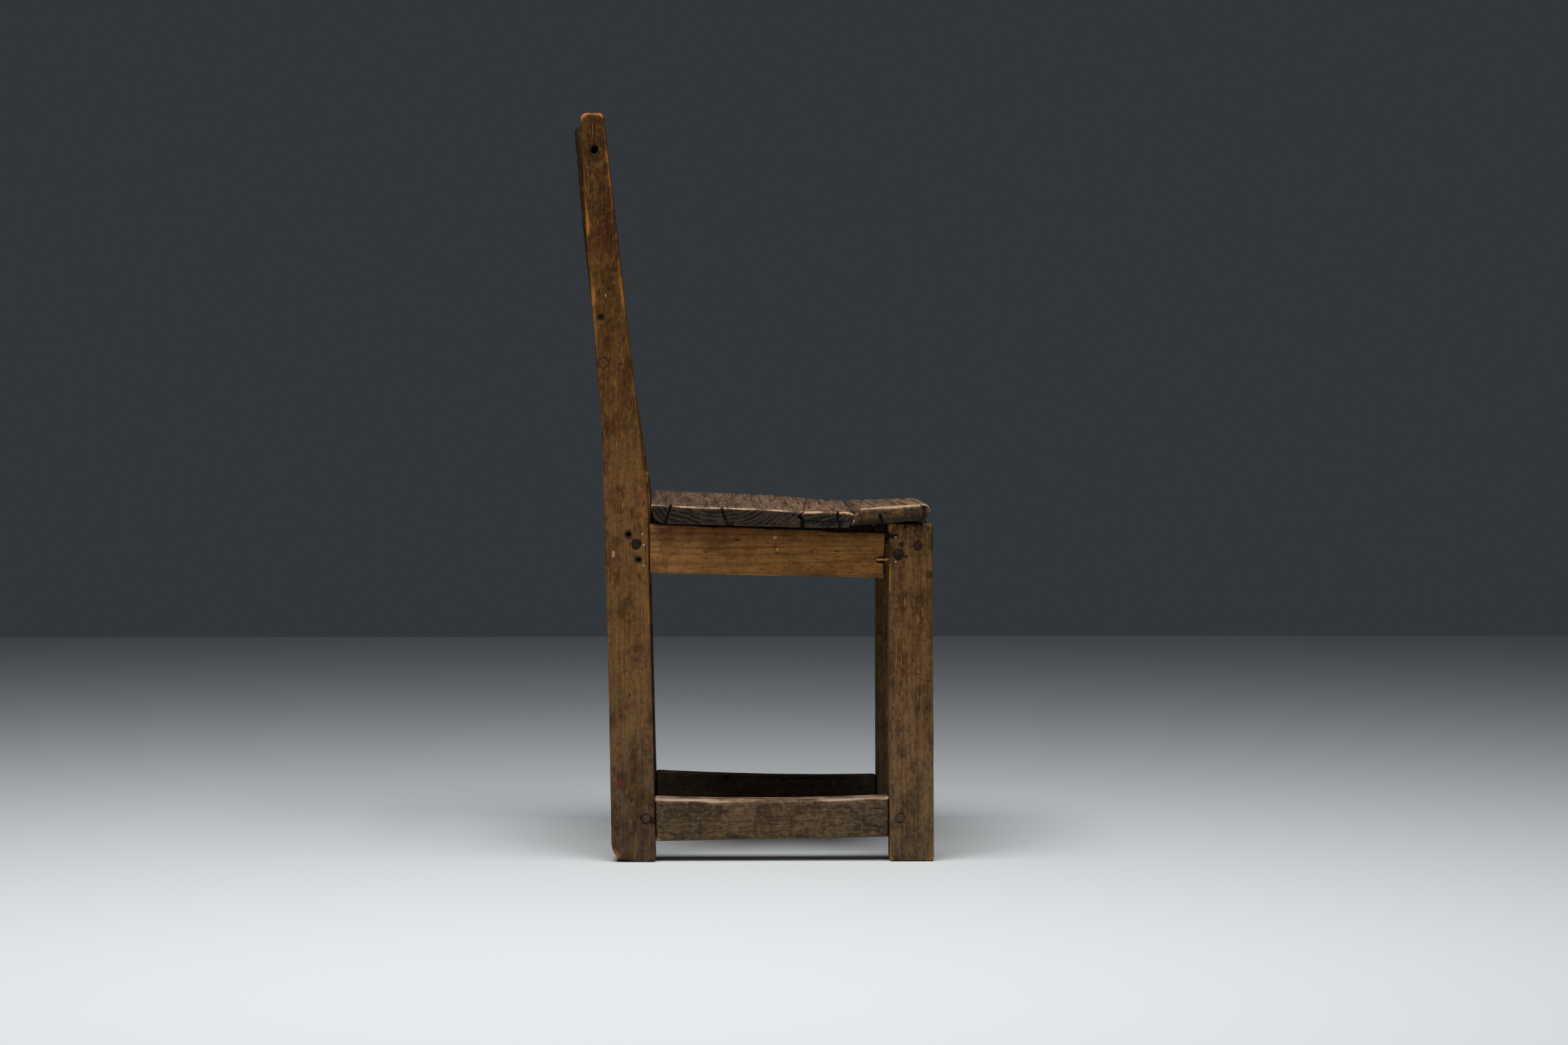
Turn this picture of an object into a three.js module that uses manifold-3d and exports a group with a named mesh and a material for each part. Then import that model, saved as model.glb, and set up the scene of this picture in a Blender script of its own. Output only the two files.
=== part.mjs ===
import * as THREE from "three";
import { mergeVertices } from "three/addons/utils/BufferGeometryUtils.js";
import Module from "manifold-3d";

// Old plank-seat chair with a pegged frame.
// Millimetres. +X is the chair's front, +Y the sitter's left, +Z up.
// While it is built, x = 0 is the back of the right heel on the floor.

// Overall sizes
const overallWidth = 410;
const overallHeight = 929.5;
const seatHeight = 443.5;
const baseDepth = 399.4;

// Legs and posts
const legThickness = 45;
const legRound = 3;
const frontLegDepth = 55.4;
const frontLegLean = 1.8;
const rearFootDepth = 55;
const heelWearRise = 16;
const heelWearRun = 26;
const rightPostWear = 5.3;
const leftPostSet = 2;
const leftPostLean = 0.0373;
const leanStart = seatHeight + 40;

// Clear gap between fitted pieces
const gap = 0.3;

// Seat rails at the sides
const railHeight = 62;
const railDrop = 11.4;
const railTaper = 5;
const railThickness = 28;
const railRecess = 4;
const railRearTenon = 32;
const railFrontTenon = 27.5;
const railFrontGapTop = 3.3;
const railFrontGapBottom = 6;
const railTenonThickness = 12;

// Stretchers at the sides
const stretcherBottomRear = 25.2;
const stretcherBottomFront = 30.1;
const stretcherThickness = 40;
const stretcherRecess = 2.5;
const stretcherTenon = 30;
const stretcherTenonThickness = 14;
const stretcherTopLines = {
  right: { rear: 78.5, middle: 75.5, front: 80 },
  left: { rear: 75.5, middle: 70, front: 69.7 },
};

// Rails across the chair
const crossRailThickness = 24;
const crossTenonLength = legThickness - railRecess - (railThickness + railTenonThickness) / 2 - 3;
const backSeatRailHeight = 58;
const frontSeatRailHeight = 60;
const lowerRailRise = 32;
const lowerRailDepthBelow = 20;
const lowerRailRake = -0.12;
const crestRailHeight = 75;
const crestRailDrop = 12.8;
const crestRailRake = -0.109;
const backRailThickness = 20;
const middleRailHeight = 65;

// Seat boards
const seatRearGap = 2.5;
const seatFrontInset = 4;
const seatSideOverhang = 6;
const boardThickness = 23.4;
const farRearRise = 5.6;
const farMiddleRise = 5.2;
const farFrontFall = 5.6;
const noseCrown = 3.3;
const farJointShift = 15.5;

// Pegs, dowels and nails
const pegDiameter = 11.2;
const stretcherPegDiameter = 10.2;
const stretcherPegHeight = 53.5;
const pegLength = legThickness - 7;
const frontDowelDiameter = 9.4;
const middleDowelDiameter = 11.5;
const crestDowelDiameter = 9.6;
const dowelReach = 28;
const pegProud = 0.4;
const nailWidth = 3.4;
const nailHeadDiameter = 8;
const nailHeadThickness = 2;
const nailLength = 52;
const legNailLength = 34;

const half = overallWidth / 2;
const inner = half - legThickness;
const backHeight = overallHeight - seatHeight;
const sides = [
  { name: "right", sign: -1, share: 0 },
  { name: "left", sign: 1, share: 1 },
];

const kernel = await Module();
kernel.setup();

const clamp = THREE.MathUtils.clamp;
const lerp = THREE.MathUtils.lerp;

function along(stations, at) {
  let k = 1;
  while (k < stations.length - 1 && at > stations[k][0]) k += 1;
  const [a, p] = stations[k - 1];
  const [b, q] = stations[k];
  return lerp(p, q, (at - a) / (b - a));
}

// Solids

function toSolid(geometry) {
  const bare = new THREE.BufferGeometry();
  bare.setAttribute("position", geometry.getAttribute("position").clone());
  if (geometry.index) bare.setIndex(geometry.index.clone());
  const merged = mergeVertices(bare, 1e-4);
  const mesh = new kernel.Mesh({
    numProp: 3,
    vertProperties: new Float32Array(merged.getAttribute("position").array),
    triVerts: new Uint32Array(merged.index.array),
  });
  return new kernel.Manifold(mesh);
}

function toGeometry(solid) {
  const mesh = solid.getMesh();
  const geometry = new THREE.BufferGeometry();
  geometry.setAttribute("position", new THREE.BufferAttribute(new Float32Array(mesh.vertProperties), 3));
  geometry.setIndex(new THREE.BufferAttribute(new Uint32Array(mesh.triVerts), 1));
  const flat = geometry.toNonIndexed();
  flat.computeVertexNormals();
  return flat;
}

// A closed outline whose corners [x, z, r] are eased by r.
function outline(corners) {
  const shape = new THREE.Shape();
  corners.forEach(([x, z, r], k) => {
    const here = new THREE.Vector2(x, z);
    const [px, pz] = corners[(k + corners.length - 1) % corners.length];
    const [nx, nz] = corners[(k + 1) % corners.length];
    const from = new THREE.Vector2(px, pz).sub(here);
    const to = new THREE.Vector2(nx, nz).sub(here);
    const a = from.setLength(Math.min(r, from.length() * 0.45)).add(here);
    const b = to.setLength(Math.min(r, to.length() * 0.45)).add(here);
    if (k === 0) shape.moveTo(a.x, a.y);
    else shape.lineTo(a.x, a.y);
    if (r > 0) shape.quadraticCurveTo(x, z, b.x, b.y);
  });
  shape.closePath();
  return shape;
}

// A side outline carried across the chair, its long arrises eased by round.
function acrossGeometry(shape, yLow, yHigh, round = 0, steps = 1) {
  const geometry = new THREE.ExtrudeGeometry(shape, {
    depth: yHigh - yLow - 2 * round,
    steps,
    curveSegments: 4,
    bevelEnabled: round > 0,
    bevelThickness: round,
    bevelSize: round,
    bevelOffset: -round,
    bevelSegments: 2,
  });
  geometry.rotateX(Math.PI / 2);
  geometry.translate(0, yHigh - round, 0);
  return geometry;
}

function reshape(geometry, move) {
  const position = geometry.getAttribute("position");
  const point = new THREE.Vector3();
  for (let k = 0; k < position.count; k += 1) {
    point.fromBufferAttribute(position, k);
    move(point);
    position.setXYZ(k, point.x, point.y, point.z);
  }
  return geometry;
}

function box(x0, x1, y0, y1, z0, z1) {
  const geometry = new THREE.BoxGeometry(x1 - x0, y1 - y0, z1 - z0);
  geometry.translate((x0 + x1) / 2, (y0 + y1) / 2, (z0 + z1) / 2);
  return geometry;
}

// A round pin across the chair, from yOuter inward by length.
function pin(x, z, yOuter, sign, length, radius, taper = 1, count = 12) {
  const outerRadius = sign > 0 ? radius : radius * taper;
  const innerRadius = sign > 0 ? radius * taper : radius;
  const geometry = new THREE.CylinderGeometry(outerRadius, innerRadius, length, count);
  geometry.translate(x, yOuter - sign * length / 2, z);
  return toSolid(geometry);
}

const woodOf = (name, color, roughness) => new THREE.MeshStandardMaterial({ name, color, roughness });
const frameWood = woodOf("frame_wood", 0x5a3c1f, 0.6);
const seatWood = woodOf("seat_wood", 0x4b3a2c, 0.55);
const pegWood = woodOf("peg_wood", 0x35281d, 0.7);
const iron = new THREE.MeshStandardMaterial({
  name: "iron",
  color: 0x43291a,
  roughness: 0.8,
  metalness: 0.5,
});

const pieces = new Map();

function make(name, solid, material) {
  pieces.set(name, { solid, material });
}

function cut(name, tool) {
  const piece = pieces.get(name);
  piece.solid = piece.solid.subtract(tool);
}

// Post edges at a height, and how far the left post stands and leans back

const postBack = [
  [0, 0],
  [0.45 * seatHeight, -3],
  [seatHeight + 0.21 * backHeight, -11.5],
  [seatHeight + 0.67 * backHeight, -29.6],
  [overallHeight, -37.8],
];
const postFront = [
  [0, rearFootDepth],
  [0.8 * seatHeight, 46.4],
  [seatHeight, 46],
  [seatHeight + 0.33 * backHeight, 26.9],
  [seatHeight + 0.67 * backHeight, 8.4],
  [overallHeight, -9.3],
];
const backEdge = (z) => along(postBack, z);
const frontEdge = (z) => along(postFront, z);
const lean = (z, share) => -share * (leftPostSet + leftPostLean * Math.max(0, z - leanStart));

// Seat surface: drops below seatHeight at shares of the seat's depth, right end

const seatBack = frontEdge(seatHeight) + seatRearGap;
const seatFront = baseDepth - seatFrontInset;
const seatX = (f) => lerp(seatBack, seatFront, f);
const seatShare = (x) => (x - seatBack) / (seatFront - seatBack);
const topDrop = [
  [0, 0.3],
  [0.0714, 2.1],
  [0.2142, 4.1],
  [0.4285, 6.9],
  [0.5407, 9.6],
  [0.6325, 9.8],
  [0.7264, 11],
  [0.7345, 10],
  [0.748, 5.2],
  [0.8467, 3.5],
  [0.9651, 0.6],
  [1, 0.6],
];
const bottomDrop = [
  [0, boardThickness + 0.3],
  [0.2652, boardThickness + 2.8],
  [0.5407, boardThickness + 5.2],
  [0.7039, boardThickness + 5.6],
  [0.8467, boardThickness + 0.5],
  [1, boardThickness - 4.6],
];
const farLift = [
  [0, farRearRise],
  [0.1, 0.9 * farRearRise],
  [0.4, farMiddleRise],
  [0.5407, 0.7 * farMiddleRise],
  [0.62, 0.48 * farMiddleRise],
  [0.732, 0.44 * farMiddleRise],
  [0.748, -0.43 * farFrontFall],
  [0.82, -0.64 * farFrontFall],
  [0.92, -farFrontFall],
  [1, -0.9 * farFrontFall],
];
const crown = [
  [0.85, 0],
  [0.93, noseCrown],
  [1, noseCrown],
];
const farShift = [
  [0, 0],
  [0.5438, farJointShift],
  [0.7294, 2],
  [1, 0],
];
const seatHalf = half + seatSideOverhang;
const acrossShare = (y) => (y + seatHalf) / (2 * seatHalf);
const crownAt = (f) => along(crown, Math.max(f, crown[0][0]));
const seatLift = (f, t) => t * along(farLift, f) + 4 * t * (1 - t) * crownAt(f);
const seatTop = (f, t) => seatHeight - along(topDrop, f) + seatLift(f, t);
const seatBottom = (f, t) => seatHeight - along(bottomDrop, f) + seatLift(f, t);
const seatAt = (f, t) => seatX(f) + t * along(farShift, f);

function warp(point) {
  const f = clamp(seatShare(point.x), 0, 1);
  const t = acrossShare(point.y);
  point.x += t * along(farShift, f);
  point.z += seatLift(f, t);
}

function seatBoard(name, corners) {
  const shape = outline(corners.map(([f, drop, r]) => [seatX(f), seatHeight - drop, r]));
  const geometry = reshape(acrossGeometry(shape, -seatHalf, seatHalf, 0, 6), warp);
  make(name, toSolid(geometry), seatWood);
}

// Front legs

const legFrontTop = seatBottom(seatShare(baseDepth - frontLegDepth), 0) - gap;
const legBack = (z) => baseDepth - frontLegDepth - frontLegLean * z / legFrontTop;
const legFront = (z) => baseDepth - frontLegLean * z / legFrontTop;

for (const { name, sign, share } of sides) {
  const low = sign < 0 ? -half : inner;
  const top = seatBottom(seatShare(baseDepth - frontLegDepth), share) - gap - 0.2 * share;
  const shape = outline([
    [legBack(0), 0, 4],
    [legFront(0), 0, 5],
    [legFront(top), top, 5],
    [legBack(top), top, 4],
  ]);
  make(`${name}_front_leg`, toSolid(acrossGeometry(shape, low, low + legThickness, legRound)), frameWood);
}

// Back posts

for (const { name, sign, share } of sides) {
  const low = sign < 0 ? -half : inner;
  const top = overallHeight - rightPostWear * (1 - share);
  const back = [...postBack].slice(1, -1).reverse();
  const at = (z, x, r) => [x + lean(z, share), z, r];
  const shape = outline([
    at(0, heelWearRun, 4),
    at(0, frontEdge(0), 5),
    ...postFront.slice(1, 3).map(([z, x]) => at(z, x, 20)),
    at(leanStart, frontEdge(leanStart), 20),
    ...postFront.slice(3, -1).map(([z, x]) => at(z, x, 20)),
    at(top, frontEdge(top), 6),
    at(top, backEdge(top), 9),
    ...back.map(([z, x]) => at(z, x, 20)),
    at(heelWearRise, backEdge(heelWearRise), 7),
    at(heelWearRise * 0.18, heelWearRun * 0.3, 8),
  ]);
  make(`${name}_back_post`, toSolid(acrossGeometry(shape, low, low + legThickness, legRound)), frameWood);
}

// Rails and stretchers along the sides, tenoned into post and leg

function sideTenon(xRear, xFront, rear, front, yMid, thickness, grow) {
  const shape = outline([
    [xRear - grow, rear[0] - grow, 0],
    [xFront + grow, front[0] - grow, 0],
    [xFront + grow, front[1] + grow, 0],
    [xRear - grow, rear[1] + grow, 0],
  ]);
  return toSolid(acrossGeometry(shape, yMid - thickness / 2 - grow, yMid + thickness / 2 + grow));
}

for (const { name, sign, share } of sides) {
  const yMid = sign * (half - railRecess - railThickness / 2);
  const rearX = (z) => frontEdge(z) + lean(z, share);
  const topRear = seatBottom(0, share) - gap;
  const topFront = seatBottom(0, 0) - gap - railDrop;
  const bottomRear = topRear - railHeight;
  const bottomFront = topFront - railHeight + railTaper;
  const shape = outline([
    [rearX(bottomRear) + gap, bottomRear, 0],
    [legBack(bottomFront) - railFrontGapBottom, bottomFront, 0],
    [legBack(topFront) - railFrontGapTop, topFront, 0],
    [rearX(topRear) + gap, topRear, 0],
  ]);
  const body = toSolid(acrossGeometry(shape, yMid - railThickness / 2, yMid + railThickness / 2, 1.6));
  const xRear = rearX(bottomRear) - railRearTenon;
  const xFront = legBack(bottomFront) + railFrontTenon;
  const rear = [bottomRear + 7, topRear - 9];
  const front = [bottomFront + 7, topFront - 9];
  const tenon = (grow) => sideTenon(xRear, xFront, rear, front, yMid, railTenonThickness, grow);
  make(`${name}_seat_rail`, body.add(tenon(0)), frameWood);
  cut(`${name}_back_post`, tenon(gap));
  cut(`${name}_front_leg`, tenon(gap));
}

for (const { name, sign, share } of sides) {
  const yMid = sign * (half - stretcherRecess - stretcherThickness / 2);
  const top = stretcherTopLines[name];
  const rearX = (z) => frontEdge(z) + lean(z, share) + gap;
  const frontX = (z) => legBack(z) - gap;
  const middle = (rearX(top.rear) + frontX(top.front)) / 2;
  const shape = new THREE.Shape();
  shape.moveTo(rearX(stretcherBottomRear), stretcherBottomRear);
  shape.lineTo(frontX(stretcherBottomFront), stretcherBottomFront);
  shape.lineTo(frontX(top.front), top.front);
  shape.quadraticCurveTo(middle, 2 * top.middle - (top.rear + top.front) / 2, rearX(top.rear), top.rear);
  shape.closePath();
  const halfThick = stretcherThickness / 2;
  const body = toSolid(acrossGeometry(shape, yMid - halfThick, yMid + halfThick, 4));
  const low = stretcherBottomFront + 6;
  const high = Math.min(top.rear, top.middle, top.front) - 8;
  const xRear = rearX(low) - stretcherTenon;
  const xFront = legBack(low) + stretcherTenon;
  const span = [low, high];
  const tenon = (grow) => sideTenon(xRear, xFront, span, span, yMid, stretcherTenonThickness, grow);
  make(`${name}_stretcher`, body.add(tenon(0)), frameWood);
  cut(`${name}_back_post`, tenon(gap));
  cut(`${name}_front_leg`, tenon(gap));
}

// Rails across the chair; a stub tenon at each end where one is given

function crossRail(name, section, tenon, hosts) {
  const shear = (point) => {
    const share = clamp((point.y + inner) / (2 * inner), 0, 1);
    point.x += lean(point.z, share);
  };
  let solid = toSolid(reshape(acrossGeometry(section, -inner + gap, inner - gap), shear));
  if (tenon) {
    for (const { name: side, sign, share } of sides) {
      const stub = (grow) => {
        const root = sign * (inner - 4);
        const tip = sign * (inner + crossTenonLength + grow);
        const [x0, x1, z0, z1] = tenon.block;
        const yEnds = [Math.min(root, tip), Math.max(root, tip)];
        const block = box(x0 - grow, x1 + grow, ...yEnds, z0 - grow, z1 + grow);
        const rake = (point) => {
          point.x += tenon.rake * (point.z - (z0 + z1) / 2) + lean(point.z, share);
        };
        return toSolid(reshape(block, rake));
      };
      solid = solid.add(stub(0));
      cut(`${side}_${hosts}`, stub(gap));
    }
  }
  make(name, solid, frameWood);
}

function rakedBar(xMid, zMid, thickness, zLow, zHigh, rake, r) {
  const at = (u, z) => [xMid + u + rake * (z - zMid), z, r];
  return outline([
    at(-thickness / 2, zLow),
    at(thickness / 2, zLow),
    at(thickness / 2, zHigh),
    at(-thickness / 2, zHigh),
  ]);
}

const seatFrameTop = seatBottom(0, 0) - 6;
const backSeatRailMid = backEdge(seatFrameTop) + 9 + crossRailThickness / 2;
crossRail(
  "back_seat_rail",
  rakedBar(backSeatRailMid, 0, crossRailThickness, seatFrameTop - backSeatRailHeight, seatFrameTop, 0, 2),
  {
    block: [
      backSeatRailMid - 7,
      backSeatRailMid + 5,
      seatFrameTop - backSeatRailHeight + 8,
      seatFrameTop - 8,
    ],
    rake: 0,
  },
  "back_post",
);

const frontRailTop = legFrontTop - farFrontFall;
const frontRailMid = legFront(frontRailTop) - 18.8;
crossRail(
  "front_seat_rail",
  rakedBar(frontRailMid, 0, crossRailThickness, frontRailTop - frontSeatRailHeight, frontRailTop, 0, 2),
  {
    block: [frontRailMid - 8, frontRailMid + 8, frontRailTop - frontSeatRailHeight + 8, frontRailTop - 8],
    rake: 0,
  },
  "front_leg",
);

const lowerRailTop = seatHeight + lowerRailRise;
const lowerRailLow = seatHeight - lowerRailDepthBelow;
const lowerRailFace = seatBack - 0.9;
const lowerRailBend = seatHeight + 5;
const lowerRailTopFace = lowerRailFace + lowerRailRake * (lowerRailTop - lowerRailBend);
crossRail(
  "lower_back_rail",
  outline([
    [lowerRailFace - crossRailThickness, lowerRailLow, 2],
    [lowerRailFace, lowerRailLow, 2],
    [lowerRailFace, lowerRailBend, 6],
    [lowerRailTopFace, lowerRailTop, 2.5],
    [lowerRailTopFace - crossRailThickness, lowerRailTop, 2.5],
  ]),
  {
    block: [lowerRailFace - 21, lowerRailFace - 9, lowerRailLow + 5, lowerRailTop - 7],
    rake: 0,
  },
  "back_post",
);

const crestTop = overallHeight - crestRailDrop;
const crestLow = crestTop - crestRailHeight;
const crestMid = (crestTop + crestLow) / 2;
const crestX = (backEdge(crestMid) + frontEdge(crestMid)) / 2;
crossRail(
  "crest_rail",
  rakedBar(crestX, crestMid, backRailThickness, crestLow, crestTop, crestRailRake, 4),
  {
    block: [crestX - 7, crestX + 7, crestLow + 8, crestTop - 8],
    rake: crestRailRake,
  },
  "back_post",
);

const middleMid = (lowerRailTop + crestLow) / 2 - 42;
const middleX = backEdge(middleMid) + 8;
const middleRake = -0.08;
crossRail(
  "middle_back_rail",
  rakedBar(
    middleX,
    middleMid,
    backRailThickness,
    middleMid - middleRailHeight / 2,
    middleMid + middleRailHeight / 2,
    middleRake,
    3,
  ),
  null,
  "back_post",
);

// Pegs through the tenons, and dowels through posts into the rails' ends

function drive(name, hosts, x, z, side, diameter, length) {
  const yOuter = side.sign * half;
  const hole = pin(x, z, yOuter + side.sign * 4, side.sign, length + 4 + gap, diameter / 2 + gap + 0.1);
  hosts.forEach((host) => cut(host, hole));
  if (!name) return;
  const peg = pin(x, z, yOuter + side.sign * pegProud, side.sign, length + pegProud, diameter / 2, 0.96);
  make(name, peg, pegWood);
}

const railPegHeight = seatHeight - 49.7;
const railFrontPegHeight = seatHeight - 62.8;
for (const side of sides) {
  const { name, share } = side;
  const post = `${name}_back_post`;
  const leg = `${name}_front_leg`;
  const rail = `${name}_seat_rail`;
  const stretcher = `${name}_stretcher`;
  const rearPegX = frontEdge(railPegHeight) + lean(railPegHeight, share) - 15.3;
  const frontPegX = legBack(railFrontPegHeight) + 12.5;
  drive(`${name}_rail_peg_rear`, [post, rail], rearPegX, railPegHeight, side, pegDiameter, pegLength);
  drive(`${name}_rail_peg_front`, [leg, rail], frontPegX, railFrontPegHeight, side, pegDiameter, pegLength);
  const lowPegX = frontEdge(stretcherPegHeight) + lean(stretcherPegHeight, share) - 11.2;
  const lowFrontPegX = legBack(stretcherPegHeight) + 13.3;
  const low = stretcherPegHeight;
  drive(`${name}_stretcher_peg_rear`, [post, stretcher], lowPegX, low, side, stretcherPegDiameter, pegLength);
  drive(
    `${name}_stretcher_peg_front`,
    [leg, stretcher], lowFrontPegX, low, side, stretcherPegDiameter, pegLength,
  );
  const reach = legThickness + dowelReach;
  const frontDowelHeight = frontRailTop - 22.5;
  const frontRail = "front_seat_rail";
  drive(
    `${name}_front_rail_dowel`,
    [leg, frontRail], frontRailMid, frontDowelHeight, side, frontDowelDiameter, reach,
  );
  const middleDowelX = middleX + lean(middleMid, share);
  const middleRail = "middle_back_rail";
  drive(
    `${name}_middle_rail_dowel`,
    [post, middleRail], middleDowelX, middleMid, side, middleDowelDiameter, reach,
  );
}
const crestDowelX = crestX + lean(crestMid, 1);
const crestReach = legThickness + dowelReach;
const crestHosts = ["left_back_post", "crest_rail"];
drive("left_crest_rail_dowel", crestHosts, crestDowelX, crestMid, sides[1], crestDowelDiameter, crestReach);

// The right crest hole has lost its dowel and worn oval.
const lostDowel = new THREE.CylinderGeometry(crestDowelDiameter / 2, crestDowelDiameter / 2, crestReach, 14);
lostDowel.scale(0.9, 1, 1.15);
lostDowel.rotateY(0.45);
lostDowel.translate(crestX, -half + crestReach / 2 - 4, crestMid);
const lostDowelHole = toSolid(lostDowel);
cut("right_back_post", lostDowelHole);
cut("crest_rail", lostDowelHole);

// Old nail holes in the right side
const oldHoles = [
  ["right_back_post", frontEdge(seatHeight - 38) - 24.9, seatHeight - 38, 7],
  ["right_back_post", frontEdge(seatHeight - 69) - 12.3, seatHeight - 69, 6],
  ["right_back_post", backEdge(seatHeight + 230) + 9.5, seatHeight + 230, 5],
  ["right_front_leg", legBack(seatHeight - 50.5) + 16.2, seatHeight - 50.5, 4.6],
];
oldHoles.forEach(([host, x, z, diameter]) => {
  cut(host, pin(x, z, -half - 2, -1, 9, diameter / 2, 0.7, 8));
});

// Seat boards

seatBoard("seat_board_rear", [
  [0.0122, boardThickness - 6, 3],
  [0, 0.3, 2.5],
  [0.0714, 2.1, 0],
  [0.2142, 4.1, 0],
  [0.4285, 6.9, 0],
  [0.5448, 9.7, 2],
  [0.5254, 15, 0],
  [0.5213, 16.6, 0],
  [0.5376, 21, 1],
  [0.5295, boardThickness + 5.1, 1],
  [0.2652, boardThickness + 2.8, 0],
  [0.0408, boardThickness + 0.7, 3],
].reverse());
seatBoard("seat_board_middle", [
  [0.5499, 9.6, 1],
  [0.6325, 9.8, 0],
  [0.7039, 10.3, 4],
  [0.7243, 13, 1],
  [0.7039, boardThickness + 5.6, 1],
  [0.5489, boardThickness + 5.4, 1],
  [0.5448, 19.8, 0],
  [0.532, 15.6, 0],
].reverse());
seatBoard("seat_board_front", [
  [0.732, 11.5, 1],
  [0.748, 5.2, 3],
  [0.8467, 3.5, 0],
  [0.958, 0.7, 6],
  [0.989, 1.6, 4],
  [1, 8, 4],
  [0.996, 15, 4],
  [0.975, 19.6, 4],
  [0.8467, boardThickness + 0.5, 0],
  [0.7116, boardThickness + 3.7, 1],
].reverse());

// Broken right front corner of the seat
const cornerBreak = new THREE.Shape();
const breakX = seatX(0.966);
cornerBreak.moveTo(breakX - 3, -seatHalf - 2);
cornerBreak.lineTo(seatFront + 4, -seatHalf - 2);
cornerBreak.lineTo(seatFront + 4, -seatHalf + 27);
cornerBreak.lineTo(breakX + 10, -seatHalf + 24);
cornerBreak.lineTo(breakX + 5, -seatHalf + 22);
cornerBreak.lineTo(breakX + 0.5, -seatHalf + 14);
cornerBreak.lineTo(breakX, -seatHalf + 8);
cornerBreak.closePath();
const breakGeometry = new THREE.ExtrudeGeometry(cornerBreak, { depth: 60, bevelEnabled: false });
breakGeometry.translate(0, 0, seatHeight - 45);
cut("seat_board_front", toSolid(breakGeometry));

// Chip at the right end of the rear board's front edge
const chip = new THREE.BoxGeometry(22, 16, 12);
chip.rotateX(0.5);
chip.rotateY(-0.35);
chip.translate(seatX(0.546), -seatHalf - 2, seatHeight - 7);
cut("seat_board_rear", toSolid(chip));

// Split-off flake at the top of the right front leg
const flake = new THREE.BoxGeometry(24, 10, 46);
flake.rotateZ(-0.22);
flake.rotateX(0.09);
flake.translate(legBack(legFrontTop) - 2, -half - 1.2, legFrontTop + 3);
cut("right_front_leg", toSolid(flake));

// Nails through the seat

function seatNail(name, board, host, f, inset, sign, length, buried = true) {
  const y = sign * (seatHalf - inset);
  const t = acrossShare(y);
  const x = seatAt(f, t);
  const top = seatTop(f, t) + (buried ? 0.5 : -2.5);
  const shank = (grow, low) => {
    const wide = (nailWidth / 2 + grow) * Math.SQRT2;
    const tip = grow > 0 ? wide : wide * 0.55;
    const geometry = new THREE.CylinderGeometry(wide, tip, top - low, 4);
    geometry.rotateY(Math.PI / 4);
    geometry.rotateX(Math.PI / 2);
    geometry.translate(x, y, (top + low) / 2);
    return toSolid(geometry);
  };
  const head = (grow, low, high) => {
    const radius = nailHeadDiameter / 2 + grow;
    const geometry = new THREE.CylinderGeometry(radius, radius, high - low, 9);
    geometry.rotateX(Math.PI / 2);
    geometry.translate(x, y, (low + high) / 2);
    return toSolid(geometry);
  };
  const point = top - length;
  make(name, shank(0, point).add(head(0, top - nailHeadThickness, top)), iron);
  const hole = shank(gap, point - gap);
  cut(host, hole);
  cut(board, hole);
  cut(board, head(gap + 0.1, top - nailHeadThickness - gap, top + 6));
}

for (const { name, sign } of sides) {
  const rail = `${name}_seat_rail`;
  const leg = `${name}_front_leg`;
  seatNail(`${name}_seat_nail_1`, "seat_board_rear", rail, 0.092, 24, sign, nailLength);
  seatNail(`${name}_seat_nail_2`, "seat_board_rear", rail, 0.449, 24, sign, nailLength);
  seatNail(`${name}_seat_nail_3`, "seat_board_middle", rail, 0.633, 24, sign, nailLength);
  seatNail(`${name}_seat_nail_4`, "seat_board_front", rail, 0.791, 24, sign, nailLength);
  const fifth = `${name}_seat_nail_5`;
  if (sign < 0) seatNail(fifth, "seat_board_front", leg, 0.978, 15.5, sign, legNailLength, false);
  else seatNail(fifth, "seat_board_front", leg, 0.965, 16, sign, legNailLength);
}
seatNail("left_seat_nail_6", "seat_board_front", "left_front_leg", 0.944, 29, 1, legNailLength);

// Nail driven through the front end of the right seat rail into the leg
const toeHeight = seatHeight - 69.5;
const toeY = -half + railRecess + 1.2;
const toeStart = legBack(toeHeight) - 15;
const toeEnd = legBack(toeHeight) + 4.6;
function toeRod(radius, x0, x1) {
  const geometry = new THREE.CylinderGeometry(radius, radius * 0.8, x1 - x0, 8);
  geometry.rotateZ(Math.PI / 2);
  geometry.translate((x0 + x1) / 2, toeY, toeHeight);
  return toSolid(geometry);
}
make("right_toe_nail", toeRod(1.7, toeStart, toeEnd), iron);
cut("right_front_leg", toeRod(2.6, toeStart, toeEnd + 1));
const toeGroove = box(toeStart - 1.5, toeEnd, toeY - 8, toeY + 2.2, toeHeight - 3.4, toeHeight + 3);
cut("right_seat_rail", toSolid(toeGroove));

// The chair, set with the middle of its footprint box at the origin

const chair = new THREE.Group();
chair.name = "chair";
for (const [name, { solid, material }] of pieces) {
  const mesh = new THREE.Mesh(toGeometry(solid), material.clone());
  mesh.name = name;
  chair.add(mesh);
}
const extent = new THREE.Box3().setFromObject(chair);
chair.position.set(-(extent.min.x + extent.max.x) / 2, -(extent.min.y + extent.max.y) / 2, -extent.min.z);
chair.updateMatrixWorld(true);

export default chair;
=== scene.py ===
import bpy
import bmesh
import math
import numpy as np
from mathutils import Matrix, Vector


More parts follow.
